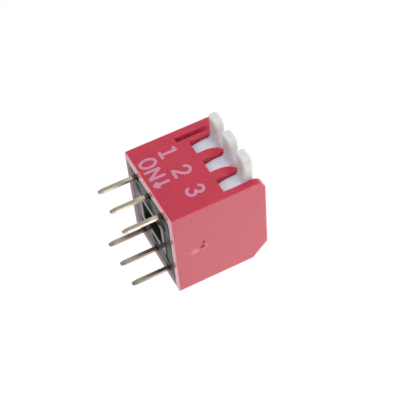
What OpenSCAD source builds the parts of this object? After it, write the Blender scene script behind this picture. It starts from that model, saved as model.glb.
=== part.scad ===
// Three-way piano DIP switch: moulded cover and base, side levers, leads and spring-and-ball contacts.
// The origin is on the seating plane, midway between the two rows of leads. X runs along the row of levers,
// -Y is the lever face and +Z points away from the circuit board.

/* [Lead grid] */
// Spacing of the poles along the row
pitch = 2.54; // [2.45:0.01:2.8]
// Distance between the front and rear rows of leads
row_spacing = 7.62; // [7.0:0.01:8.4]

/* [Cover] */
// Gap between a lead and the cover's skirt
lead_gap = 0.05; // [0.03:0.01:0.1]
// Thickness of the front wall round the base
front_skirt = 1.125; // [1.0:0.005:1.4]
// Thickness of the back wall
back_skirt = 1.005; // [0.8:0.005:1.1]
// Distance from the first pole to the side wall next to it
far_side = 1.23; // [1.18:0.01:1.3]
// Thickness of the side wall next to the first pole
far_wall = 0.84; // [0.7:0.01:1.0]
// Thickness of the side wall next to the last pole
near_wall = 0.705; // [0.6:0.005:0.9]
// Height of the cover's rim above the seating plane
rim_lift = 0.02; // [0.01:0.01:0.2]
// Thickness of the front wall where the levers pass through it
slot_wall = 0.66; // [0.55:0.01:0.8]
// Height at which the front wall becomes thinner
wall_step = 4.3; // [3.9:0.05:4.6]
// Room between a lever at rest and the roof
roof_gap = 0.15; // [0.1:0.01:0.4]
// Thickness of the roof
roof = 0.58; // [0.45:0.01:0.8]
// Depth of the chamfer along the upper back edge
chamfer_y = 1.65; // [1.2:0.05:2.0]
// Height of the same chamfer
chamfer_z = 1.6; // [1.1:0.05:1.8]
// Wall thickness behind the chamfer
chamfer_wall = 0.75; // [0.6:0.05:1.0]
// Radius of the upper front corner of the side walls
front_round = 1.0; // [0.4:0.05:1.3]
// Rise of the rim from its outer to its inner edge
rim_slope = 0.04; // [0.02:0.01:0.2]
// Radius of the cover's outer edges
edge_round = 0.06; // [0.03:0.01:0.15]

/* [Lever slots] */
// Width of each slot in the front wall
slot_w = 1.59; // [1.5:0.01:1.65]
// Sideways shift of the slots from their poles
slot_shift = 0.57; // [0.5:0.01:0.6]
// Gap between a lever and the slot's floor when it is fully down
stop_gap = 0.06; // [0.01:0.01:0.1]
// Distance from the lever face to the front edge of the roof
recess_depth = 2.805; // [2.7:0.005:2.9]
// Height of the ribs between the slots, above the pivots
rib_rise = 0.7; // [0.3:0.05:0.8]
// Depth below the pivots at which the ribs' shoulder begins
rib_drop = 0.82; // [0.6:0.02:1.1]
// Radius of the ribs' round shoulder
rib_round = 1.85; // [1.2:0.05:2.2]
// Width of the coring groove beside the first rib
groove_w = 0.54; // [0.4:0.01:0.6]
// Height of the wall left below the groove
groove_floor = 4.5; // [4.4:0.05:5.0]
// Depth of the groove behind the lever face
groove_depth = 2.0; // [1.5:0.05:2.2]

/* [Levers] */
// Height of the lever pivots above the seating plane
pivot_z = 7.15; // [6.9:0.01:7.8]
// Angle that a lever turns through from off to on
swing = 21.5; // [18:0.5:22]
// Reach of the nose in front of the lever face
nose_reach = 2.47; // [1.8:0.01:2.7]
// Height of the nose's underside above the pivots
nose_rise = 0.4; // [0.3:0.01:0.5]
// Thickness of the nose
nose_t = 0.9; // [0.8:0.01:1.0]
// Radius of the nose's long and front edges
nose_round = 0.25; // [0.15:0.01:0.35]
// Radius of the nose's front corner on its +X side
corner_round = 0.72; // [0.4:0.02:1.0]
// Radius of the fillet between the nose and the skirt
crook_round = 0.28; // [0.15:0.01:0.35]
// Thickness of the curved skirt that closes a slot from behind
skirt_t = 0.79; // [0.6:0.01:0.9]
// Overlap of the skirt below the slot's floor
skirt_lap = 0.5; // [0.3:0.05:0.6]
// Gap between a lever at rest and the roof's front edge
roof_edge_gap = 0.3; // [0.2:0.05:0.5]
// Width of the hub and tail
hub_w = 1.3; // [1.2:0.01:1.35]
// Radius of the hub
hub_r = 1.0; // [0.8:0.05:1.1]
// Radius of the trunnions
trunnion_r = 0.45; // [0.4:0.01:0.5]
// Length of each trunnion
trunnion_l = 0.4; // [0.3:0.01:0.42]
// Thickness of the tail
tail_t = 1.4; // [1.2:0.05:1.5]

/* [Contacts] */
// Radius of a contact ball
ball_r = 0.4; // [0.36:0.01:0.42]
// Distance from the pivot to the ball's centre
ball_reach = 4.2; // [4.0:0.01:4.3]
// Distance from the ball's centre to the tail's mouth
mouth_lap = 0.05; // [0.02:0.01:0.1]
// Outer radius of a contact spring
spring_r = 0.38; // [0.34:0.01:0.4]
// Diameter of the spring wire
wire_d = 0.12; // [0.1:0.01:0.14]
// Turns of a spring
spring_turns = 5; // [4:1:7]
// Distance from the pivot to the closed end of the tail's bore
bore_top = 1.3; // [1.2:0.05:1.6]
// Thickness of the terminal strip
strip_t = 0.28; // [0.22:0.01:0.32]
// Width of the pad and strip on the base's floor
strip_w = 1.0; // [0.9:0.02:1.1]
// Width of a lead below the base
lead_w = 0.38; // [0.34:0.01:0.5]
// Width of a lead inside its notch
shoulder_w = 0.7; // [0.6:0.02:0.76]
// Height of a lead's shoulder above the underside of the base
shoulder_rise = 0.6; // [0.4:0.05:0.9]
// Length of a lead below the seating plane
lead_length = 3.64; // [2.8:0.02:4.0]
// Length of the taper at a lead's tip
tip_taper = 0.45; // [0.3:0.05:0.8]
// Width of a lead's tip
tip_w = 0.26; // [0.2:0.01:0.3]
// Inner radius of the bend in a terminal
bend_r = 0.1; // [0.05:0.01:0.14]
// Gap between the two pads of a pole
pad_gap = 0.26; // [0.2:0.01:0.36]

/* [Base] */
// Width of the well in the underside, along the row
well_w = 3.8; // [3.4:0.05:4.0]
// Length of the well from front to back
well_d = 2.5; // [2.0:0.05:2.7]
// Depth of the well
well_h = 1.2; // [0.8:0.05:1.4]
// Width of the raised land round the well
land_w = 0.65; // [0.4:0.05:0.7]
// Height of the land
land_h = 0.05; // [0.03:0.01:0.1]
// Size of the chamfer round the base's underside
base_chamfer = 0.12; // [0.05:0.01:0.3]
// Width of the edge notches for the leads
notch_w = 0.9; // [0.84:0.02:1.0]
// Room behind a lead in its notch
notch_room = 0.27; // [0.26:0.01:0.35]
// Height of the snap ridges' crest
snap_z = 1.5; // [1.2:0.05:1.8]
// Reach of the snap ridges on the front and back faces
snap_reach = 0.12; // [0.08:0.01:0.16]
// Length of the snap ridges
snap_w = 1.1; // [0.9:0.05:1.2]

/* [Clearances] */
// Gap between the base and the cover's walls
base_gap = 0.05; // [0.03:0.01:0.06]
// Gap on each side of a lever in its slot
lever_gap = 0.06; // [0.04:0.01:0.08]
// Gap on each side of a hub between the partitions
hub_gap = 0.05; // [0.04:0.01:0.08]
// Radial gap of the trunnions in their bearings
bearing_gap = 0.04; // [0.02:0.01:0.06]
// Radial gap of the balls in their bores
bore_gap = 0.04; // [0.03:0.01:0.05]
// Gap between a ball and its pads
pad_clear = 0.02; // [0.01:0.01:0.04]
// Gap between a swinging tail's corners and the base's floor
tail_gap = 0.03; // [0.02:0.01:0.08]
// Gap between the strips and their channels
channel_gap = 0.03; // [0.02:0.01:0.05]

/* [Hidden] */
$fn = 48;
over = 0.5;                                   // how far a cutter runs past what it cuts
pole_x = [-pitch, 0, pitch];
lead_y = row_spacing / 2;

// levers and contacts, from the pivots down to the base's floor
tail_end = ball_reach + mouth_lap;            // distance from the pivot to the tail's mouth
tail_angle = -swing / 2;                      // the tail leans this far at rest
tail_sweep = sqrt(pow(tail_end, 2) + pow(tail_t / 2, 2));
floor_z = pivot_z - tail_sweep - tail_gap;    // top of the base's floor
track_r = ball_reach + ball_r + pad_clear;    // radius of the pads' upper face about the pivots
pad_r = track_r + strip_t;
track_half = acos((pivot_z - floor_z) / track_r);  // angle at which the track meets the floor
track_y = track_r * sin(track_half);
gap_half = asin(pad_gap / 2 / track_r);
bore_r = ball_r + bore_gap;
bay_half = hub_w / 2 + hub_gap;               // half width of the space between two partitions
bearing_r = trunnion_r + bearing_gap;
spring_mean = spring_r - wire_d / 2;
coil_seat = sqrt(pow(ball_r + wire_d / 2, 2) - pow(spring_mean, 2));  // last coil above the ball's centre
seat_gap = 0.01;                              // gap at each end of a spring
strip_end = lead_y - strip_t / 2 - bend_r;    // where the strip starts to bend down

// cover
cavity_y = lead_y + strip_t / 2 + lead_gap;   // inner faces round the base
front_y = -cavity_y - front_skirt;
back_y = cavity_y + back_skirt;
rim_z = rim_lift;
roof_z = pivot_z + nose_rise + nose_t + roof_gap;  // underside of the roof
top_z = roof_z + roof;
slot_x0 = slot_shift - slot_w / 2;            // slot edges, measured from the pole
slot_x1 = slot_shift + slot_w / 2;
far_x = -pitch - far_side;                    // inner faces of the side walls
near_x = pitch + slot_x1;
side_x = [far_x - far_wall, near_x + near_wall];
slot_y = front_y + slot_wall;                 // inner face of the front wall at the slots
recess_y = front_y + recess_depth;            // front edge of the roof
slot_floor = pivot_z + front_y * tan(swing) + nose_rise / cos(swing) - stop_gap;
rib_top = pivot_z + rib_rise;
rib_w = pitch - slot_w;
partition_z = floor_z + channel_gap;          // the partitions stop just above the base's floor
partition_back = hub_r + over;                // rear end of the partitions

// lever
lever_x0 = slot_x0 + lever_gap;
lever_x1 = slot_x1 - lever_gap;
nose_tip = front_y - nose_reach;
nose_bottom = pivot_z + nose_rise;
nose_top = nose_bottom + nose_t;
skirt_bottom = slot_floor - skirt_lap;
// the skirt's outer face turns about the pivot, just clear of the slot's floor
skirt_r = sqrt(pow(slot_y, 2) + pow(pivot_z - slot_floor, 2)) - lever_gap;
skirt_mid = skirt_r - skirt_t / 2;

// Extrusions of a drawing along one axis, with the drawing's axes kept on the other two
module along_x(x0, x1) translate([x0, 0, 0]) rotate([90, 0, 90]) linear_extrude(x1 - x0) children();
module along_y(y0, y1) translate([0, y1, 0]) rotate([90, 0, 0]) linear_extrude(y1 - y0) children();
module along_z(z0, z1) translate([0, 0, z0]) linear_extrude(z1 - z0) children();
module box(low, high) translate(low) cube(high - low);
module area(low, high) translate(low) square(high - low);
module at_pole(n) translate([pole_x[n - 1], 0, 0]) children();

// Rectangle with round corners of one radius
module round_area(low, high, r) {
    area([low.x + r, low.y], [high.x - r, high.y]);
    area([low.x, low.y + r], [high.x, high.y - r]);
    for (x = [low.x + r, high.x - r], y = [low.y + r, high.y - r]) translate([x, y]) circle(r);
}

// ---- Cover ----

// Side view of the cover: round upper front corner and chamfered upper back edge
module cover_side() {
    difference() {
        union() {
            round_area([front_y, rim_z], [back_y, top_z - front_round], edge_round);
            area([front_y, rim_z + over], [back_y, top_z - front_round]);
            area([front_y + front_round, rim_z + over], [back_y, top_z]);
            translate([front_y + front_round, top_z - front_round]) circle(front_round);
        }
        polygon([[back_y - chamfer_y, top_z], [back_y, top_z - chamfer_z],
                 [back_y + over, top_z - chamfer_z], [back_y + over, top_z + over],
                 [back_y - chamfer_y, top_z + over]]);
    }
}

module cover_outside() {
    intersection() {
        along_x(side_x[0], side_x[1]) cover_side();
        along_y(front_y, back_y) round_area([side_x[0], rim_z], [side_x[1], top_z], edge_round);
        along_z(0, top_z + over) round_area([side_x[0], front_y], [side_x[1], back_y], edge_round);
    }
}

// Outline of the space below the rim, which slopes up from the outer faces to the inner ones
module below_rim(outer, inner) {
    polygon([[outer[0] - over, rim_z - over], [outer[0] - over, rim_z], [outer[0], rim_z],
             [inner[0], rim_z + rim_slope], [inner[1], rim_z + rim_slope],
             [outer[1], rim_z], [outer[1] + over, rim_z], [outer[1] + over, rim_z - over]]);
}

// Side view of the room inside, with a sloping wall behind the chamfer
module cavity_side() {
    slope = atan2(chamfer_z, chamfer_y);
    difference() {
        union() {
            area([-cavity_y, rim_z - over], [cavity_y, roof_z]);
            area([slot_y, wall_step], [cavity_y, roof_z]);
        }
        translate([back_y - chamfer_y, top_z]) rotate(-slope)
            area([-top_z, -chamfer_wall], [top_z, top_z]);
    }
}

// Front view of one rib between two slots, with its left edge at x = 0
module rib_face(width) {
    area([0, 0], [width, pivot_z - rib_drop]);
    intersection() {
        area([0, 0], [width, rib_top]);
        translate([rib_round, pivot_z - rib_drop]) circle(rib_round);
    }
}

// Front view of what the open step in front of the roof takes away
module recess_face() {
    difference() {
        area([far_x, slot_floor], [near_x, top_z + over]);
        for (x = pole_x) translate([x + slot_x1 - pitch, 0]) rib_face(rib_w);
    }
    area([far_x, groove_floor], [far_x + groove_w, top_z + over]);
}

// Walls that part the poles and carry the trunnions
module partitions() {
    for (n = [0:len(pole_x)]) {
        x0 = n == 0 ? far_x - over / 2 : pole_x[n - 1] + bay_half;
        x1 = n == len(pole_x) ? near_x + over / 2 : pole_x[n] - bay_half;
        box([x0, recess_y, partition_z], [x1, partition_back, roof_z + over / 2]);
    }
    for (x = pole_x) {
        rib_x0 = max(x + slot_x1 - pitch, far_x + groove_w);
        box([rib_x0, slot_y - over / 2, partition_z], [x + slot_x0, recess_y + over / 2, rib_top]);
    }
    // cross wall that ties the first rib to the side wall behind the groove
    box([far_x - over / 2, front_y + groove_depth, partition_z],
        [pole_x[0] + slot_x0, recess_y + over / 2, rib_top]);
}

// Slots, open below, in which the trunnions hang
module bearing_slots() {
    translate([far_x, 0, pivot_z]) rotate([0, 90, 0]) cylinder(r = bearing_r, h = near_x - far_x);
    box([far_x, -bearing_r, partition_z - over], [near_x, bearing_r, pivot_z]);
}

// Profile of a snap ridge on the front face of the base
module snap_side(reach) {
    face_y = base_gap - cavity_y;
    polygon([[face_y + over, snap_z - 3 * snap_reach], [face_y, snap_z - 3 * snap_reach],
             [face_y - reach, snap_z], [face_y, snap_z + 1.3 * snap_reach],
             [face_y + over, snap_z + 1.3 * snap_reach]]);
}

module snaps(reach, spare) {
    for (x = [-pitch / 2, pitch / 2], turn = [0, 1]) mirror([0, turn, 0])
        along_x(x - snap_w / 2 - spare, x + snap_w / 2 + spare) snap_side(reach);
}

module cover() color([0.78, 0.10, 0.17]) {
    difference() {
        union() {
            difference() {
                cover_outside();
                along_x(far_x, near_x) cavity_side();
            }
            intersection() {
                cover_outside();
                partitions();
            }
        }
        difference() {
            along_y(front_y - over, recess_y) recess_face();
            box([far_x - over, front_y + groove_depth, 0],
                [pole_x[0] + slot_x0, recess_y + over, rib_top]);
        }
        intersection() {
            along_x(side_x[0] - over, side_x[1] + over) below_rim([front_y, back_y], [-cavity_y, cavity_y]);
            along_y(front_y - over, back_y + over) below_rim(side_x, [far_x, near_x]);
        }
        bearing_slots();
        snaps(snap_reach + base_gap, base_gap);
    }
}

// ---- Base ----

// Rectangle with its two lower corners cut off
module chamfered_area(low, high) {
    polygon([[low.x, high.y], [low.x, low.y + base_chamfer], [low.x + base_chamfer, low.y],
             [high.x - base_chamfer, low.y], [high.x, low.y + base_chamfer], high]);
}

module base_body() {
    gap_x = [far_x + base_gap, near_x - base_gap];
    half_d = cavity_y - base_gap;
    intersection() {
        along_x(gap_x[0], gap_x[1]) chamfered_area([-half_d, land_h], [half_d, floor_z]);
        along_y(-half_d, half_d) chamfered_area([gap_x[0], land_h], [gap_x[1], floor_z]);
    }
    box([-well_w / 2 - land_w, -well_d / 2 - land_w, 0],
        [well_w / 2 + land_w, well_d / 2 + land_w, land_h + over / 2]);
    snaps(snap_reach, 0);
}

// Posts that hold the trunnions up in their slots
module bearing_posts() {
    half_d = bearing_r - base_gap;
    for (n = [0:len(pole_x)]) {
        x0 = n == 0 ? far_x + base_gap : pole_x[n - 1] + bay_half + base_gap;
        x1 = n == len(pole_x) ? near_x - base_gap : pole_x[n] - bay_half - base_gap;
        box([x0, -half_d, floor_z - over], [x1, half_d, pivot_z - trunnion_r * 0.9]);
    }
}

module base() color([0.12, 0.11, 0.12]) {
    difference() {
        union() {
            base_body();
            bearing_posts();
        }
        box([-well_w / 2, -well_d / 2, -over], [well_w / 2, well_d / 2, well_h]);
        translate([far_x, 0, pivot_z]) rotate([0, 90, 0]) cylinder(r = bearing_r, h = near_x - far_x);
        for (x = pole_x) translate([x, 0, 0]) {
            // trough under the tail, then the channels for the two pads
            trough(track_r, bay_half, 0);
            difference() {
                trough(pad_r + channel_gap, strip_w / 2 + channel_gap, 0);
                gap_bar();
            }
            for (side = [0, 1]) mirror([0, side, 0]) {
                box([-strip_w / 2 - channel_gap, track_y - channel_gap, floor_z - strip_t - channel_gap],
                    [strip_w / 2 + channel_gap, cavity_y, floor_z + over]);
                box([-notch_w / 2, lead_y - strip_t / 2 - notch_room, -over],
                    [notch_w / 2, cavity_y, floor_z]);
            }
        }
    }
}

// Part of a cylinder about the pivot that reaches below the base's floor
module trough(r, half_w, from_z) {
    intersection() {
        translate([-half_w, 0, pivot_z]) rotate([0, 90, 0]) cylinder(r = r, h = 2 * half_w, $fn = 96);
        box([-half_w, -track_y, from_z], [half_w, track_y, floor_z + over / 10]);
    }
}

// Low bar of the base between the two pads, under the ball's place when on
module gap_bar() {
    translate([0, 0, pivot_z]) rotate([swing / 2, 0, 0])
        box([-strip_w, -pad_gap / 2 + channel_gap, -pad_r - over],
            [strip_w, pad_gap / 2 - channel_gap, -track_r - strip_t / 2]);
}

// ---- Levers ----

// Nose with round edges and one rounder corner, from its tip to the wide part's rear end
module nose() {
    corner = [lever_x1 - corner_round, nose_tip + corner_round];
    rear_y = recess_y - roof_edge_gap;
    intersection() {
        along_x(lever_x0, corner.x) round_area([nose_tip, nose_bottom], [rear_y, nose_top], nose_round);
        along_y(nose_tip, rear_y) nose_face();
    }
    along_y(corner.y, rear_y) nose_face();
    intersection() {
        translate([corner.x, corner.y, 0]) rotate_extrude() intersection() {
            round_area([-corner_round, nose_bottom], [corner_round, nose_top], nose_round);
            area([0, nose_bottom], [corner_round, nose_top]);
        }
        box([corner.x, nose_tip, nose_bottom], [lever_x1, corner.y, nose_top]);
    }
}

// Front view of the nose
module nose_face() round_area([lever_x0, nose_bottom], [lever_x1, nose_top], nose_round);

// Side view of the skirt, an arc about the pivot with a round lower end
module skirt_side() {
    end_angle = asin((pivot_z - skirt_bottom - skirt_t / 2) / skirt_mid);
    nose_mid = nose_bottom + nose_t / 2;
    intersection() {
        translate([0, pivot_z]) difference() {
            circle(skirt_r, $fn = 96);
            circle(skirt_r - skirt_t, $fn = 96);
        }
        polygon([[0, pivot_z], [-2 * skirt_r * cos(end_angle), pivot_z - 2 * skirt_r * sin(end_angle)],
                 [-2 * skirt_r, nose_mid], [0, nose_mid]]);
    }
    translate([-skirt_mid * cos(end_angle), pivot_z - skirt_mid * sin(end_angle)]) circle(skirt_t / 2);
    // fillet under the nose, touching the skirt on the line from its centre to the pivot
    fillet = [-sqrt(pow(skirt_r + crook_round, 2) - pow(nose_rise - crook_round, 2)),
              nose_bottom - crook_round];
    difference() {
        polygon([fillet, [fillet.x, nose_mid], [-skirt_mid, nose_mid],
                 [-skirt_mid, pivot_z + (fillet.y - pivot_z) * skirt_mid / -fillet.x]]);
        translate(fillet) circle(crook_round);
    }
}

// Side view of the arm from the skirt to the hub
module arm_side() {
    polygon([[-skirt_mid, nose_top], [-1.2 * hub_r, nose_top], [0, pivot_z + hub_r],
             [0, pivot_z - 0.9 * hub_r], [-skirt_mid, pivot_z - nose_rise]]);
}

module hub_side() {
    translate([0, pivot_z]) {
        circle(hub_r);
        rotate(tail_angle) area([-tail_t / 2, -tail_end], [tail_t / 2, 0]);
    }
}

module in_tail() translate([0, 0, pivot_z]) rotate([tail_angle, 0, 0]) children();

module lever(n) color([0.93, 0.93, 0.95]) at_pole(n) {
    difference() {
        union() {
            nose();
            along_x(lever_x0, lever_x1) skirt_side();
            along_x(lever_x0, hub_w / 2) arm_side();
            along_x(-hub_w / 2, hub_w / 2) hub_side();
            translate([-hub_w / 2 - trunnion_l, 0, pivot_z]) rotate([0, 90, 0])
                cylinder(r = trunnion_r, h = hub_w + 2 * trunnion_l);
        }
        in_tail() translate([0, 0, -tail_end - over]) cylinder(r = bore_r, h = tail_end + over - bore_top);
    }
}

// ---- Contacts ----

module contact_ball(n) color([0.90, 0.80, 0.55]) at_pole(n)
    in_tail() translate([0, 0, -ball_reach]) sphere(ball_r);

// Round wire swept along a helix, from z0 down to z1
module coil(z0, z1) {
    steps = 14 * spring_turns;
    sides = 6;
    points = [for (i = [0:steps], j = [0:sides - 1])
        let (turn = 360 * spring_turns * i / steps, a = 360 * j / sides,
             r = spring_mean + wire_d / 2 * cos(a))
        [r * cos(turn), r * sin(turn), z0 + (z1 - z0) * i / steps + wire_d / 2 * sin(a)]];
    skin = [for (i = [0:steps - 1], j = [0:sides - 1])
        let (a = i * sides + j, b = i * sides + (j + 1) % sides)
        [a, b, b + sides, a + sides]];
    ends = [[for (j = [sides - 1:-1:0]) j], [for (j = [0:sides - 1]) steps * sides + j]];
    polyhedron(points, concat(skin, ends), convexity = 10);
}

module contact_spring(n) color([0.70, 0.70, 0.72]) at_pole(n)
    in_tail() coil(-bore_top - wire_d / 2 - seat_gap, -ball_reach + coil_seat + seat_gap);

// Side view of the rear terminal's lead and bend
module lead_side() {
    tip_z = -lead_length;
    y0 = lead_y - strip_t / 2;
    y1 = lead_y + strip_t / 2;
    taper = (strip_t - strip_t * tip_w / lead_w) / 2;
    polygon([[y0 + taper, tip_z], [y1 - taper, tip_z], [y1, tip_z + tip_taper],
             [y1, floor_z - strip_t - bend_r], [y0, floor_z - strip_t - bend_r], [y0, tip_z + tip_taper]]);
    intersection() {
        translate([strip_end, floor_z - strip_t - bend_r]) difference() {
            circle(strip_t + bend_r);
            circle(bend_r);
        }
        area([strip_end, floor_z - strip_t - bend_r], [y1 + over, floor_z + over]);
    }
}

// Front view of a lead: tapered tip, straight shank and the wider shoulder in the notch
module lead_face() {
    shoulder_z = land_h + shoulder_rise;
    slope_z = (shoulder_w - lead_w) / 2;
    polygon([[-tip_w / 2, -lead_length], [tip_w / 2, -lead_length], [lead_w / 2, tip_taper - lead_length],
             [lead_w / 2, shoulder_z], [shoulder_w / 2, shoulder_z + slope_z], [shoulder_w / 2, floor_z],
             [-shoulder_w / 2, floor_z], [-shoulder_w / 2, shoulder_z + slope_z], [-lead_w / 2, shoulder_z],
             [-lead_w / 2, tip_taper - lead_length]]);
}

// Side view of a pad between two angles about the pivot, and the strip from the track's end to the bend
module pad_side(from_angle, to_angle) {
    translate([0, pivot_z]) intersection() {
        difference() {
            circle(pad_r, $fn = 96);
            circle(track_r, $fn = 96);
        }
        polygon([[0, 0], [2 * pad_r * sin(from_angle), -2 * pad_r * cos(from_angle)],
                 [2 * pad_r * sin(to_angle), -2 * pad_r * cos(to_angle)]]);
    }
    area([track_y, floor_z - strip_t], [strip_end, floor_z]);
}

// Terminal with its lead on the +Y side; its pad runs from the given angle to the track's end
module terminal_piece(pad_from) {
    intersection() {
        along_x(-shoulder_w / 2, shoulder_w / 2) lead_side();
        along_y(0, cavity_y) lead_face();
    }
    along_x(-strip_w / 2, strip_w / 2) pad_side(pad_from, track_half);
}

module front_terminal(n) color([0.80, 0.74, 0.58]) at_pole(n)
    mirror([0, 1, 0]) terminal_piece(gap_half - swing / 2);

module rear_terminal(n) color([0.80, 0.74, 0.58]) at_pole(n) terminal_piece(swing / 2 + gap_half);

cover();
base();
lever(1);  // lever_1
lever(2);  // lever_2
lever(3);  // lever_3
contact_spring(1);  // contact_spring_1
contact_spring(2);  // contact_spring_2
contact_spring(3);  // contact_spring_3
contact_ball(1);  // contact_ball_1
contact_ball(2);  // contact_ball_2
contact_ball(3);  // contact_ball_3
front_terminal(1);  // front_terminal_1
front_terminal(2);  // front_terminal_2
front_terminal(3);  // front_terminal_3
rear_terminal(1);  // rear_terminal_1
rear_terminal(2);  // rear_terminal_2
rear_terminal(3);  // rear_terminal_3
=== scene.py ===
import bpy
import math
from mathutils import Matrix, Vector


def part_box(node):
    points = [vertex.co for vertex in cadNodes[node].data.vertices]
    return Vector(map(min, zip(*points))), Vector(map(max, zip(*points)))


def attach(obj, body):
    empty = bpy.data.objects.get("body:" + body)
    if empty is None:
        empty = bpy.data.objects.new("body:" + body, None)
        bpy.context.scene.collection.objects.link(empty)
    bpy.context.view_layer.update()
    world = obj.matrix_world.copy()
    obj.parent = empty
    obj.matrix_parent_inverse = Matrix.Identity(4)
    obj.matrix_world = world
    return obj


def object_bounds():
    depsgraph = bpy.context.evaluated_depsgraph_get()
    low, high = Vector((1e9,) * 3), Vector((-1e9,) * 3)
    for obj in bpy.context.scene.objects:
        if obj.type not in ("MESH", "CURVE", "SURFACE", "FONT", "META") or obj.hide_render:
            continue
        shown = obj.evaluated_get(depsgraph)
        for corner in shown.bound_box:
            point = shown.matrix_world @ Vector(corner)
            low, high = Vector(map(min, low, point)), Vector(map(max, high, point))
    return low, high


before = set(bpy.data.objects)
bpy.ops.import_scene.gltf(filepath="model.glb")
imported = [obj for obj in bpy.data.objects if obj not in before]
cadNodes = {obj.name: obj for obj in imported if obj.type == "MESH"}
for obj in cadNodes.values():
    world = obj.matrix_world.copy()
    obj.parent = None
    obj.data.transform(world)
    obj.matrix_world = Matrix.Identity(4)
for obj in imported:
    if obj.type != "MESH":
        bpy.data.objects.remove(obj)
cadBox = [list(corner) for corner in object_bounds()]
scene = bpy.context.scene
mm = 0.001                               # every size below is in mm unless its note says otherwise

# places read off the solids
coverLow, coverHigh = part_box("cover")
rearLow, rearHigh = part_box("rear_terminal_2")
faceY = coverLow.y / mm                  # lever face of the cover
sideX = coverHigh.x / mm                 # side wall next to pole 3
farX = coverLow.x / mm                   # side wall next to pole 1
leadRow = (rearLow.y + rearHigh.y) / 2 / mm
leadPitch = (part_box("rear_terminal_3")[0].x - rearLow.x) / mm
print("frame loaded,", len(cadNodes), "nodes")

# roll in degrees, clip distances in metres
cameraView = {
    "place": (62.14, -82.52, -21.12), "aim": (-0.061, -0.166, 4.879), "roll": 66.153,
    "lens": 105.52, "sensor": 36, "clip": (0.005, 5),
}


def makeCamera(view):
    data = bpy.data.cameras.new("camera")
    data.lens = view["lens"]
    data.sensor_width = view["sensor"]
    data.clip_start, data.clip_end = view["clip"]
    cam = bpy.data.objects.new("camera", data)
    scene.collection.objects.link(cam)
    place, aim = Vector(view["place"]) * mm, Vector(view["aim"]) * mm
    look = (aim - place).to_track_quat("-Z", "Y").to_matrix().to_4x4()
    roll = Matrix.Rotation(math.radians(view["roll"]), 4, "Z")
    cam.matrix_world = Matrix.Translation(place) @ look @ roll
    scene.camera = cam


makeCamera(cameraView)
print("camera made")


# small helpers for node trees: a socket is linked, and anything else becomes the input's own value
def addNode(tree, kind, settings=None, inputs=None):
    node = tree.nodes.new(kind)
    for key, value in (settings or {}).items():
        setattr(node, key, value)
    for key, value in (inputs or {}).items():
        if isinstance(value, bpy.types.NodeSocket):
            tree.links.new(value, node.inputs[key])
        else:
            node.inputs[key].default_value = value
    return node


def newMaterial(name):
    mat = bpy.data.materials.new(name)
    mat.use_nodes = True
    return mat, mat.node_tree, mat.node_tree.nodes["Principled BSDF"]


def objectCoords(tree):
    return addNode(tree, "ShaderNodeTexCoord").outputs["Object"]


def surfaceNormal(tree):
    return addNode(tree, "ShaderNodeNewGeometry").outputs["Normal"]


def noise(tree, coords, size, detail=3, rough=0.5):
    return addNode(tree, "ShaderNodeTexNoise", None, {
        "Vector": coords, "Scale": 1 / (size * mm), "Detail": detail, "Roughness": rough}).outputs["Fac"]


def remap(tree, value, span, result, kind="LINEAR"):
    return addNode(tree, "ShaderNodeMapRange", {"clamp": True, "interpolation_type": kind}, {
        "Value": value, "From Min": span[0], "From Max": span[1],
        "To Min": result[0], "To Max": result[1]}).outputs["Result"]


def ease(tree, value, span, result=(0, 1)):
    return remap(tree, value, span, result, "SMOOTHSTEP")


def calc(tree, operation, *values):
    return addNode(tree, "ShaderNodeMath", {"operation": operation}, dict(enumerate(values))).outputs[0]


def times(tree, a, b):
    return calc(tree, "MULTIPLY", a, b)


def larger(tree, a, b):
    return calc(tree, "MAXIMUM", a, b)


def calcVector(tree, operation, *values):
    return addNode(tree, "ShaderNodeVectorMath", {"operation": operation}, dict(enumerate(values))).outputs


def joinXyz(tree, x, y, z):
    return addNode(tree, "ShaderNodeCombineXYZ", None, {"X": x, "Y": y, "Z": z}).outputs[0]


def splitXyz(tree, vector):
    return addNode(tree, "ShaderNodeSeparateXYZ", None, {"Vector": vector}).outputs


def mixColor(tree, factor, a, b):
    return addNode(tree, "ShaderNodeMix", {"data_type": "RGBA"}, {0: factor, 6: a, 7: b}).outputs[2]


def metres(sizes, offset=0):
    return [(size + offset) * mm for size in sizes]


def nearSpot(tree, coords, mark):
    # how far a point is from a mark, as a share of the mark's reach on each axis, and the way there
    away = calcVector(tree, "SUBTRACT", coords, metres(mark["spot"]))[0]
    share = calcVector(tree, "DIVIDE", away, metres(mark["reach"]))[0]
    return calcVector(tree, "LENGTH", share)["Value"], share


def bump(tree, height, strength, depth, below=None):
    inputs = {"Height": height, "Strength": strength, "Distance": depth * mm}
    if below is not None:
        inputs["Normal"] = below
    return addNode(tree, "ShaderNodeBump", None, inputs).outputs["Normal"]


def plugIn(tree, shader, color, rough, shape):
    tree.links.new(color, shader.inputs["Base Color"])
    tree.links.new(rough, shader.inputs["Roughness"])
    tree.links.new(shape, shader.inputs["Normal"])


def setGlow(shader, glow):
    # light that enters the plastic and comes out again a little further on
    shader.inputs["Subsurface Weight"].default_value = glow["weight"]
    shader.inputs["Subsurface Radius"].default_value = glow["spread"]
    shader.inputs["Subsurface Scale"].default_value = glow["depth"] * mm


noiseSpan = (0.2, 0.8)      # nearly all values of a noise lie in here

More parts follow.
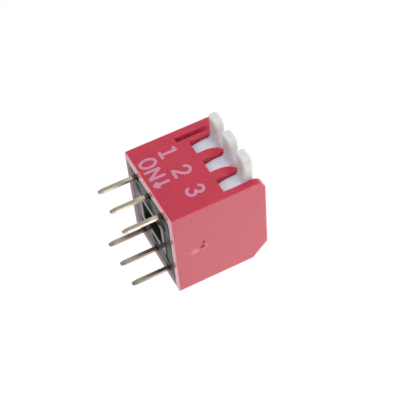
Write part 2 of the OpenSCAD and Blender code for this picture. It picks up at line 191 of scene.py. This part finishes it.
# noises: size, detail, roughness; bumps: strength, depth; spans: where an effect starts and is full
coverLook = {
    "red": (0.555, 0.020, 0.061, 1), "deepRed": (0.505, 0.015, 0.051, 1),
    "paleRed": (0.64, 0.065, 0.12, 1), "grooveLitRed": (0.67, 0.065, 0.12, 1),
    "scuffAndHighlightRed": (0.76, 0.20, 0.27, 1), "pitShadeRed": (0.33, 0.012, 0.035, 1),
    "rimHighlightRed": (0.96, 0.45, 0.51, 1), "rimShadeRed": (0.11, 0.02, 0.025, 1),
    "roughness": (0.22, 0.33), "pitRoughness": 0.9, "rimRoughness": 0.10,
    "mottle": (1.1, 4, 0.6), "mottleSpan": (0.3, 0.7), "mottleBump": (0.07, 0.020),
    "grain": (0.05, 2), "grainBump": (0.25, 0.010),
    "glow": {"weight": 0.45, "spread": (1.0, 0.12, 0.16), "depth": 0.7},
    # worn edges: how far round an edge, the bend of the normal there, and how patchy
    "edge": {"radius": 0.16, "samples": 6, "bend": (0.80, 0.995),
             "mottleSpan": (0.25, 0.75), "wear": (0.45, 1.0)},
    "groove": {"spot": (farX + 1.11, faceY + 1.05, 7.0), "reach": (0.30, 1.0, 2.52), "border": (1.0, 0.98)},
    # the gate mark's pit and lip as shares of its reach; the lip is kept only on its lit side, where it is
    # painted pale as a highlight, and the pit is painted dark as shade
    "gate": {"spot": (sideX, 0.0, 2.74), "reach": (0.5, 0.44, 0.46), "pit": (0.66, 0.1),
             "lipRise": (0.5, 0.75), "lipFall": (0.8, 1.05),
             "litSide": (0, 0.6, 0.8), "litSideSpan": (-0.1, 0.45)},
    "nick": {"spot": (sideX, -0.55, 2.87), "reach": (0.5, 0.26, 0.18), "pit": (1, 0.2)},
    "scuff": {"spot": (sideX, 0.24, 1.96), "reach": (0.5, 0.46, 0.60), "border": (1, 0.35),
              "grit": (0.22, 3, 0.7), "gritSpan": (0.32, 0.5)},
    "pitShadeTint": 0.85, "pitRoughSpan": (0, 0.6), "scuffRise": 0.4, "markBump": (0.7, 0.04),
    # lower rim: heights, how far in from the lever face and the side wall it takes a painted highlight, and
    # how strongly the rest of it takes painted shade
    "rim": {"height": (0.12, 0.05), "front": (1.0, 0.8), "side": (-0.8, -0.6), "rimShaded": 0.9},
}


def wornEdge(tree, mottle, edge):
    bevel = addNode(tree, "ShaderNodeBevel", {"samples": edge["samples"]}, {"Radius": edge["radius"] * mm})
    flat = calcVector(tree, "DOT_PRODUCT", bevel.outputs[0], surfaceNormal(tree))["Value"]
    patchy = remap(tree, mottle, edge["mottleSpan"], edge["wear"])
    return times(tree, remap(tree, flat, edge["bend"], (1, 0)), patchy)


def inGroove(tree, coords, groove):
    share = calcVector(tree, "ABSOLUTE", nearSpot(tree, coords, groove)[1])[0]
    axes = splitXyz(tree, share)
    farthest = larger(tree, axes["X"], larger(tree, axes["Y"], axes["Z"]))
    return remap(tree, farthest, groove["border"], (0, 1))


def gateMark(tree, coords, look):
    # a pit and a nick beside it, painted dark as shade, a raised lip painted pale on its lit side as a
    # highlight, and a pale scuff below
    gate, nick, scuff = look["gate"], look["nick"], look["scuff"]
    gateFar, gateAway = nearSpot(tree, coords, gate)
    pit = larger(tree, ease(tree, gateFar, gate["pit"]),
                 remap(tree, nearSpot(tree, coords, nick)[0], nick["pit"], (0, 1)))
    lip = times(tree, ease(tree, gateFar, gate["lipRise"]), ease(tree, gateFar, gate["lipFall"], (1, 0)))
    litSide = calcVector(tree, "DOT_PRODUCT", gateAway, gate["litSide"])["Value"]
    lip = times(tree, lip, remap(tree, litSide, gate["litSideSpan"], (0, 1)))
    pale = ease(tree, nearSpot(tree, coords, scuff)[0], scuff["border"])
    pale = times(tree, pale, remap(tree, noise(tree, coords, *scuff["grit"]), scuff["gritSpan"], (0, 1)))
    return pit, lip, pale


def coverPlastic(look):
    mat, tree, shader = newMaterial("redMouldedPlastic")
    coords = objectCoords(tree)
    place = splitXyz(tree, coords)
    mottle = noise(tree, coords, *look["mottle"])
    grain = noise(tree, coords, *look["grain"])
    color = mixColor(tree, remap(tree, mottle, look["mottleSpan"], (0, 1)), look["deepRed"], look["red"])
    color = mixColor(tree, wornEdge(tree, mottle, look["edge"]), color, look["paleRed"])
    # painted light: the coring groove's faces are made paler, lifting the shade inside the groove
    color = mixColor(tree, inGroove(tree, coords, look["groove"]), color, look["grooveLitRed"])
    pit, lip, pale = gateMark(tree, coords, look)
    # painted highlight on the lip's lit side, and the pale scuff, in one paler red
    color = mixColor(tree, larger(tree, pale, lip), color, look["scuffAndHighlightRed"])
    # painted shade in the pit and the nick
    color = mixColor(tree, times(tree, pit, look["pitShadeTint"]), color, look["pitShadeRed"])
    # the lower rim is polished; a painted highlight makes it pale at the front and beside pole 3, and
    # painted shade darkens it elsewhere
    rim = remap(tree, place["Z"], metres(look["rim"]["height"]), (0, 1))
    rimLit = larger(tree, remap(tree, place["Y"], metres(look["rim"]["front"], faceY), (0, 1)),
                    remap(tree, place["X"], metres(look["rim"]["side"], sideX), (0, 1)))
    rimShaded = mixColor(tree, times(tree, rim, look["rim"]["rimShaded"]), color, look["rimShadeRed"])
    color = mixColor(tree, times(tree, rim, rimLit), rimShaded, look["rimHighlightRed"])
    rough = remap(tree, mottle, noiseSpan, look["roughness"])
    rough = remap(tree, pit, look["pitRoughSpan"], (rough, look["pitRoughness"]))
    rough = remap(tree, rim, (0, 1), (rough, look["rimRoughness"]))
    raised = calc(tree, "SUBTRACT", larger(tree, lip, times(tree, pale, look["scuffRise"])), pit)
    shape = bump(tree, grain, *look["grainBump"])
    shape = bump(tree, mottle, *look["mottleBump"], shape)
    shape = bump(tree, raised, *look["markBump"], shape)
    plugIn(tree, shader, color, rough, shape)
    setGlow(shader, look["glow"])
    return mat


baseLook = {
    "black": (0.018, 0.017, 0.018, 1), "dusty": (0.05, 0.048, 0.05, 1), "paleSheen": (0.13, 0.125, 0.125, 1),
    "cloud": (0.8, 4, 0.6), "cloudSpan": (0.35, 0.7), "cloudBump": (0.12, 0.03),
    "grain": (0.06, 2), "grainBump": (0.15, 0.008),
    "sheenTowardsPoleOne": (-0.5, -3.5), "sheenTowardsPoleOneSpan": (0.3, 0.6), "sheenTowardsPoleOneLeast": 0.3,    # painted reflection, paler towards pole 1
    "roughness": (0.30, 0.44), "land": (0.005, 0.03), "landPolish": -0.24,
    "fluxReach": (0.75, 0.375), "fluxRoughness": 0.4,
}


def basePlastic(look):
    mat, tree, shader = newMaterial("blackMouldedPlastic")
    coords = objectCoords(tree)
    place = splitXyz(tree, coords)
    cloud = noise(tree, coords, *look["cloud"])
    color = mixColor(tree, remap(tree, cloud, look["cloudSpan"], (0, 1)), look["black"], look["dusty"])
    # painted reflection: the base is paler towards pole 1, in patches
    sheenTowardsPoleOne = times(tree, remap(tree, place["X"], metres(look["sheenTowardsPoleOne"]), (0, 1)),
                    remap(tree, cloud, look["sheenTowardsPoleOneSpan"], (look["sheenTowardsPoleOneLeast"], 1)))
    color = mixColor(tree, sheenTowardsPoleOne, color, look["paleSheen"])
    # the land stands proud and is rubbed smooth
    land = remap(tree, place["Z"], metres(look["land"]), (1, 0))
    rough = remap(tree, cloud, noiseSpan, look["roughness"])
    rough = calc(tree, "ADD", rough, times(tree, land, look["landPolish"]))
    # dull rings of flux round the roots of the leads
    along = calc(tree, "WRAP", place["X"], leadPitch * mm / 2, -leadPitch * mm / 2)
    across = calc(tree, "SUBTRACT", calc(tree, "ABSOLUTE", place["Y"]), leadRow * mm)
    away = calc(tree, "SQRT", calc(tree, "ADD", times(tree, along, along), times(tree, across, across)))
    ring = ease(tree, away, metres(look["fluxReach"]))
    rough = calc(tree, "ADD", rough, times(tree, ring, look["fluxRoughness"]))
    shape = bump(tree, noise(tree, coords, *look["grain"]), *look["grainBump"])
    shape = bump(tree, cloud, *look["cloudBump"], shape)
    plugIn(tree, shader, color, rough, shape)
    return mat


leverLook = {
    # the white is brighter and bluer than the nose grey: painted light on the skirts and painted shade on
    # the noses
    "white": (0.71, 0.755, 0.83, 1), "shade": (0.66, 0.705, 0.775, 1), "noseShade": (0.66, 0.655, 0.645, 1),
    "cloud": (0.5, 3), "cloudSpan": (0.35, 0.65), "grain": (0.05, 2), "grainBump": (0.2, 0.008),
    "nose": (-0.1, -0.9), "noseShadeSpan": (0.2, 0.5), "noseShadeLeast": 0.7,       # out from the lever face
    "roughness": (0.29, 0.40),
    "glow": {"weight": 0.5, "spread": (1.0, 0.85, 0.75), "depth": 0.6},
}


def leverPlastic(look):
    mat, tree, shader = newMaterial("whiteMouldedPlastic")
    coords = objectCoords(tree)
    cloud = noise(tree, coords, *look["cloud"])
    color = mixColor(tree, remap(tree, cloud, look["cloudSpan"], (0, 1)), look["shade"], look["white"])
    # painted shade: the noses are greyer than the brighter, bluer skirts, in patches
    noseShade = times(tree, remap(tree, splitXyz(tree, coords)["Y"], metres(look["nose"], faceY), (0, 1)),
                    remap(tree, cloud, look["noseShadeSpan"], (look["noseShadeLeast"], 1)))
    color = mixColor(tree, noseShade, color, look["noseShade"])
    rough = remap(tree, cloud, noiseSpan, look["roughness"])
    shape = bump(tree, noise(tree, coords, *look["grain"]), *look["grainBump"])
    plugIn(tree, shader, color, rough, shape)
    setGlow(shader, look["glow"])
    return mat


leadLook = {
    "plate": (0.48, 0.43, 0.345, 1), "rolled": (0.35, 0.315, 0.245, 1), "dull": (0.18, 0.155, 0.12, 1),
    "frontRootHighlight": (0.74, 0.67, 0.54, 1), "frontRootShadow": (0.095, 0.08, 0.075, 1),
    "rearRootShade": (0.31, 0.235, 0.205, 1), "rearRootShadeDeep": (0.10, 0.066, 0.06, 1),
    "roughness": (0.16, 0.36), "roughSpan": (0.25, 0.75),
    "drawn": (1, 1, 0.12), "streak": (0.07, 3, 0.6), "streakSpan": (0.5, 0.75), "streakTint": 0.35,
    "streakBump": (0.35, 0.012), "cloud": (0.5, 3), "cloudSpan": (0.3, 0.7),
    "rolledSpan": (0.5, 0.8), "rows": (-1, 1),
    # heights at which each change starts and is full, and how strong it gets
    "frontRootHighlightHeights": (-1.3, -0.75), "frontRootHighlightOnRolled": 0.45,
    "rearRootShadeHeights": (-2.75, -1.5), "rearRootShadeMost": (0.7, 0.95),
    "frontRootShadowHeights": (-0.44, -0.22), "frontRootShadowMost": 0.95,
}


def terminalPlating(look):
    mat, tree, shader = newMaterial("dullGoldPlate")
    coords = objectCoords(tree)
    place = splitXyz(tree, coords)
    # drawn along the strip, so the streaks are long in Z
    stretch = addNode(tree, "ShaderNodeMapping", None, {"Vector": coords, "Scale": look["drawn"]}).outputs[0]
    streak = noise(tree, stretch, *look["streak"])
    cloud = noise(tree, coords, *look["cloud"])
    across = calc(tree, "ABSOLUTE", splitXyz(tree, surfaceNormal(tree))["Y"])
    rolled = remap(tree, across, look["rolledSpan"], (0, 1))        # darker olive: partly the duller rolled finish, partly painted shade on the ±Y faces
    rear = remap(tree, place["Y"], metres(look["rows"]), (0, 1))    # the rear row, darker by painted shade
    front = calc(tree, "SUBTRACT", 1, rear)
    # painted shade: the rear row takes the darker dull plate, and the ±Y faces the darker rolled colour
    color = mixColor(tree, rolled, mixColor(tree, rear, look["plate"], look["dull"]), look["rolled"])
    streaks = times(tree, remap(tree, streak, look["streakSpan"], (0, 1)), look["streakTint"])
    color = mixColor(tree, streaks, color, look["rolled"])
    # painted highlight: the front row is brighter near its roots, least on the rolled faces, with painted
    # shadow at the very root
    frontRootHighlight = times(tree, remap(tree, place["Z"], metres(look["frontRootHighlightHeights"]), (0, 1)), front)
    frontRootHighlight = times(tree, frontRootHighlight, remap(tree, rolled, (0, 1), (1, look["frontRootHighlightOnRolled"])))
    color = mixColor(tree, frontRootHighlight, color, look["frontRootHighlight"])
    # painted shade: the rear row is darker brown near its roots, most at pole 1
    rearRootShade = times(tree, ease(tree, place["Z"], metres(look["rearRootShadeHeights"])), rear)
    rearRootShade = times(tree, rearRootShade, remap(tree, cloud, look["cloudSpan"], look["rearRootShadeMost"]))
    pole = remap(tree, place["X"], (-leadPitch * mm, leadPitch * mm), (0, 1))
    color = mixColor(tree, rearRootShade, color, mixColor(tree, pole, look["rearRootShadeDeep"], look["rearRootShade"]))
    frontRootShadow = ease(tree, place["Z"], metres(look["frontRootShadowHeights"]), (0, look["frontRootShadowMost"]))
    color = mixColor(tree, times(tree, frontRootShadow, front), color, look["frontRootShadow"])
    rough = remap(tree, streak, look["roughSpan"], look["roughness"])
    plugIn(tree, shader, color, rough, bump(tree, streak, *look["streakBump"]))
    shader.inputs["Metallic"].default_value = 1
    return mat


springLook = {"bright": (0.56, 0.56, 0.57, 1), "dull": (0.42, 0.42, 0.43, 1), "roughness": (0.22, 0.36),
              "cloud": (0.08, 3, 0.6), "cloudSpan": (0.35, 0.65), "cloudBump": (0.2, 0.01)}
ballLook = {"bright": (0.80, 0.62, 0.28, 1), "dull": (0.62, 0.50, 0.27, 1), "roughness": (0.12, 0.26),
            "cloud": (0.15, 3, 0.6), "cloudSpan": (0.35, 0.65), "cloudBump": (0.2, 0.01)}


def contactMetal(name, look):
    mat, tree, shader = newMaterial(name)
    cloud = noise(tree, objectCoords(tree), *look["cloud"])
    color = mixColor(tree, remap(tree, cloud, look["cloudSpan"], (0, 1)), look["dull"], look["bright"])
    rough = remap(tree, cloud, noiseSpan, look["roughness"])
    plugIn(tree, shader, color, rough, bump(tree, cloud, *look["cloudBump"]))
    shader.inputs["Metallic"].default_value = 1
    return mat


inkLook = {"ink": (0.635, 0.295, 0.41, 1), "thin": (0.58, 0.19, 0.30, 1), "roughness": (0.42, 0.60),
           "cover": (0.14, 4, 0.7), "coverSpan": (0.35, 0.62), "coverBump": (0.3, 0.01)}


def printInk(look):
    mat, tree, shader = newMaterial("paleInk")
    cover = noise(tree, objectCoords(tree), *look["cover"])
    color = mixColor(tree, remap(tree, cover, look["coverSpan"], (0, 1)), look["thin"], look["ink"])
    rough = remap(tree, cover, noiseSpan, look["roughness"])
    plugIn(tree, shader, color, rough, bump(tree, cover, *look["coverBump"]))
    return mat


# which material a node takes, by the word in its name
nodeMaterials = {
    "cover": coverPlastic(coverLook),
    "base": basePlastic(baseLook),
    "lever": leverPlastic(leverLook),
    "terminal": terminalPlating(leadLook),
    "spring": contactMetal("drawnSpringWire", springLook),
    "ball": contactMetal("goldPlatedBall", ballLook),
}
inkMaterial = printInk(inkLook)
print("materials made")


def dress(obj, mat):
    obj.data.materials.clear()
    obj.data.materials.append(mat)


for name, obj in cadNodes.items():
    word = next(word for word in nodeMaterials if word in name)
    dress(obj, nodeMaterials[word])
print("nodes dressed")

# print on the lever face: strokes drawn in x and z, as the pad prints them
printLook = {"stroke": 0.30, "height": 0.012, "sunk": 0.003, "lineSides": 16, "capSides": 20, "capRings": 10}


def arc(centreX, centreZ, radiusX, radiusZ, start, end, steps=14):
    # degrees, counted from +x towards +z
    spots = []
    for step in range(steps + 1):
        turn = math.radians(start + (end - start) * step / steps)
        spots.append((centreX + radiusX * math.cos(turn), centreZ + radiusZ * math.sin(turn)))
    return spots


# each mark: the middle of its leftmost and lowest strokes, its size, and its strokes in a box of one by one
printMarks = {
    "printOne": {"left": -2.92, "foot": 2.64, "width": 0.74, "height": 1.52, "strokes": [
        [(0.02, 0.90), (0.20, 0.91), (0.36, 0.95), (0.50, 1.0)],
        [(0.50, 1.0), (0.50, 0.0)], [(0.04, 0.0), (0.98, 0.0)]]},
    "printTwo": {"left": -0.50, "foot": 2.69, "width": 0.92, "height": 1.55, "strokes": [
        arc(0.50, 0.70, 0.47, 0.30, 165, -24) + [(0.60, 0.34), (0.28, 0.17), (0.04, 0.0)],
        [(0.04, 0.0), (0.98, 0.0)]]},
    "printThree": {"left": 2.05, "foot": 2.69, "width": 0.92, "height": 1.55, "strokes": [
        arc(0.48, 0.76, 0.42, 0.24, 160, -80), arc(0.47, 0.26, 0.48, 0.26, 82, -162)]},
    "printO": {"left": -2.76, "foot": 0.49, "width": 0.94, "height": 1.46, "closed": True, "strokes": [
        arc(0.5, 0.5, 0.5, 0.5, 0, 360, 32)]},
    "printN": {"left": -1.36, "foot": 0.52, "width": 0.92, "height": 1.40, "strokes": [
        [(0.0, 0.0), (0.0, 1.0)], [(0.0, 1.0), (1.0, 0.0)], [(1.0, 0.0), (1.0, 1.0)]]},
    "printArrow": {"left": 0.08, "foot": 0.50, "width": 0.56, "height": 1.42, "strokes": [
        [(0.5, 1.0), (0.5, 0.1)], [(0.06, 0.30), (0.5, 0.03)], [(0.94, 0.30), (0.5, 0.03)]]},
}


def inkTree(look):
    # curve strokes in, low rounded lines of ink out, with a round end on each stroke
    tree = bpy.data.node_groups.new("inkStrokes", "GeometryNodeTree")
    sockets = {}
    tree.interface.new_socket("Geometry", in_out="INPUT", socket_type="NodeSocketGeometry")
    for label, kind in (("Stroke Width", "Float"), ("Ink Height", "Float"), ("Ink", "Material")):
        socket = tree.interface.new_socket(label, in_out="INPUT", socket_type="NodeSocket" + kind)
        sockets[label] = socket.identifier
    tree.interface.new_socket("Geometry", in_out="OUTPUT", socket_type="NodeSocketGeometry")
    given = tree.nodes.new("NodeGroupInput").outputs
    half = times(tree, given["Stroke Width"], 0.5)

    def step(kind, inputs, settings=None):
        return addNode(tree, "GeometryNode" + kind, settings, inputs).outputs[0]

    path = step("SetCurveNormal", {"Curve": given["Geometry"]}, {"mode": "Z_UP"})
    ring = step("CurvePrimitiveCircle", {"Resolution": look["lineSides"], "Radius": 1.0})
    ring = step("Transform", {"Geometry": ring, "Scale": joinXyz(tree, half, given["Ink Height"], 1.0)})
    line = step("CurveToMesh", {"Curve": path, "Profile Curve": ring, "Fill Caps": True})
    cap = step("MeshUVSphere", {"Segments": look["capSides"], "Rings": look["capRings"], "Radius": 1.0})
    caps = step("InstanceOnPoints", {
        "Points": path, "Selection": step("CurveEndpointSelection", {}), "Instance": cap,
        "Scale": joinXyz(tree, half, half, given["Ink Height"])})
    join = tree.nodes.new("GeometryNodeJoinGeometry")
    tree.links.new(line, join.inputs[0])
    tree.links.new(caps, join.inputs[0])
    whole = step("RealizeInstances", {"Geometry": join.outputs[0]})
    whole = step("SetShadeSmooth", {"Geometry": whole})
    whole = step("SetMaterial", {"Geometry": whole, "Material": given["Ink"]})
    tree.links.new(whole, tree.nodes.new("NodeGroupOutput").inputs[0])
    return tree, sockets


def bakeModifiers(obj, name):
    # the evaluated result as a plain mesh in a new object
    graph = bpy.context.evaluated_depsgraph_get()
    mesh = bpy.data.meshes.new_from_object(obj.evaluated_get(graph))
    mesh.name = name
    done = bpy.data.objects.new(name, mesh)
    scene.collection.objects.link(done)
    bpy.data.objects.remove(obj)
    return done


def makePrint(name, mark, look, tree, sockets):
    curve = bpy.data.curves.new(name + "Strokes", "CURVE")
    curve.dimensions = "3D"
    closed = mark.get("closed", False)
    for stroke in mark["strokes"]:
        spots = stroke[:-1] if closed else stroke
        spline = curve.splines.new("POLY")
        spline.points.add(len(spots) - 1)
        spline.use_cyclic_u = closed
        for point, (u, v) in zip(spline.points, spots):
            along, up = mark["left"] + u * mark["width"], mark["foot"] + v * mark["height"]
            point.co = (along * mm, up * mm, 0, 1)
    obj = bpy.data.objects.new(name + "Strokes", curve)
    scene.collection.objects.link(obj)
    modifier = obj.modifiers.new("ink", "NODES")
    modifier.node_group = tree
    modifier[sockets["Stroke Width"]] = look["stroke"] * mm
    modifier[sockets["Ink Height"]] = look["height"] * mm
    modifier[sockets["Ink"]] = inkMaterial
    piece = bakeModifiers(obj, name)
    # stand the print up on the lever face
    upright = Matrix.Rotation(math.radians(90), 4, "X")
    piece.data.transform(Matrix.Translation((0, (faceY + look["sunk"]) * mm, 0)) @ upright)
    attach(piece, "housing")


inkNodes, inkSockets = inkTree(printLook)
for name, mark in printMarks.items():
    makePrint(name, mark, printLook, inkNodes, inkSockets)
print("print made,", len(printMarks), "marks")

# floor just under the tips of the leads, seen from above only, and fading into the white surround
floorLook = {
    "half": 90, "gap": 0.01, "fade": (14, 40),
    "white": (0.80, 0.80, 0.80, 1), "roughness": 0.8, "gloss": 0.1,
}


def makeFloor(look):
    mesh = bpy.data.meshes.new("floor")
    half, low = look["half"] * mm, cadBox[0][2] - look["gap"] * mm
    corners = [(-half, -half, low), (half, -half, low), (half, half, low), (-half, half, low)]
    mesh.from_pydata(corners, [], [(0, 1, 2, 3)])
    floor = bpy.data.objects.new("floor", mesh)
    scene.collection.objects.link(floor)
    mat, tree, shader = newMaterial("palePaper")
    shader.inputs["Base Color"].default_value = look["white"]
    shader.inputs["Roughness"].default_value = look["roughness"]
    shader.inputs["Specular IOR Level"].default_value = look["gloss"]
    fade = ease(tree, calcVector(tree, "LENGTH", objectCoords(tree))["Value"], metres(look["fade"]))
    behind = addNode(tree, "ShaderNodeNewGeometry").outputs["Backfacing"]
    clear = tree.nodes.new("ShaderNodeBsdfTransparent").outputs[0]
    white = addNode(tree, "ShaderNodeEmission", None, {"Color": (1, 1, 1, 1), "Strength": 1.0}).outputs[0]
    edge = addNode(tree, "ShaderNodeMixShader", None, {0: fade, 1: shader.outputs[0], 2: white}).outputs[0]
    oneSide = addNode(tree, "ShaderNodeMixShader", None, {0: behind, 1: edge, 2: clear}).outputs[0]
    tree.links.new(oneSide, tree.nodes["Material Output"].inputs["Surface"])
    dress(floor, mat)


makeFloor(floorLook)

# a surround that is white to the camera and to glossy rays, and softer as a light, with three soft lamps
lightLook = {
    "surround": 0.62, "aim": (0, 0, 4.5),
    "lamps": {
        "keyLamp": {"from": (0.2, -1.0, 0.08), "away": 150, "size": 130, "power": 0.096},
        "sideLamp": {"from": (0.80, 0.62, 0.40), "away": 200, "size": 200, "power": 0.14},
        "topLamp": {"from": (-0.3, 0.4, 1.0), "away": 180, "size": 160, "power": 0.06},
    },
}


def makeSurround(look):
    world = bpy.data.worlds.new("surround")
    scene.world = world
    world.use_nodes = True
    tree = world.node_tree
    soft = tree.nodes["Background"]
    soft.inputs["Color"].default_value = (1, 1, 1, 1)
    soft.inputs["Strength"].default_value = look["surround"]
    white = addNode(tree, "ShaderNodeBackground", None, {"Color": (1, 1, 1, 1), "Strength": 1.0})
    path = tree.nodes.new("ShaderNodeLightPath").outputs
    seen = larger(tree, path["Is Camera Ray"], path["Is Glossy Ray"])
    seen = larger(tree, seen, path["Is Transmission Ray"])
    mix = addNode(tree, "ShaderNodeMixShader", None, {0: seen, 1: soft.outputs[0], 2: white.outputs[0]})
    tree.links.new(mix.outputs[0], tree.nodes["World Output"].inputs["Surface"])


def makeLamps(look):
    for name, lamp in look["lamps"].items():
        data = bpy.data.lights.new(name, "AREA")
        data.shape = "DISK"
        data.size = lamp["size"] * mm
        data.energy = lamp["power"]
        obj = bpy.data.objects.new(name, data)
        scene.collection.objects.link(obj)
        direction = Vector(lamp["from"]).normalized()
        obj.location = Vector(look["aim"]) * mm + direction * lamp["away"] * mm
        obj.rotation_mode = "QUATERNION"
        obj.rotation_quaternion = direction.to_track_quat("Z", "Y")


makeSurround(lightLook)
makeLamps(lightLook)
scene.view_settings.view_transform = "Standard"
print("stage and lights made")
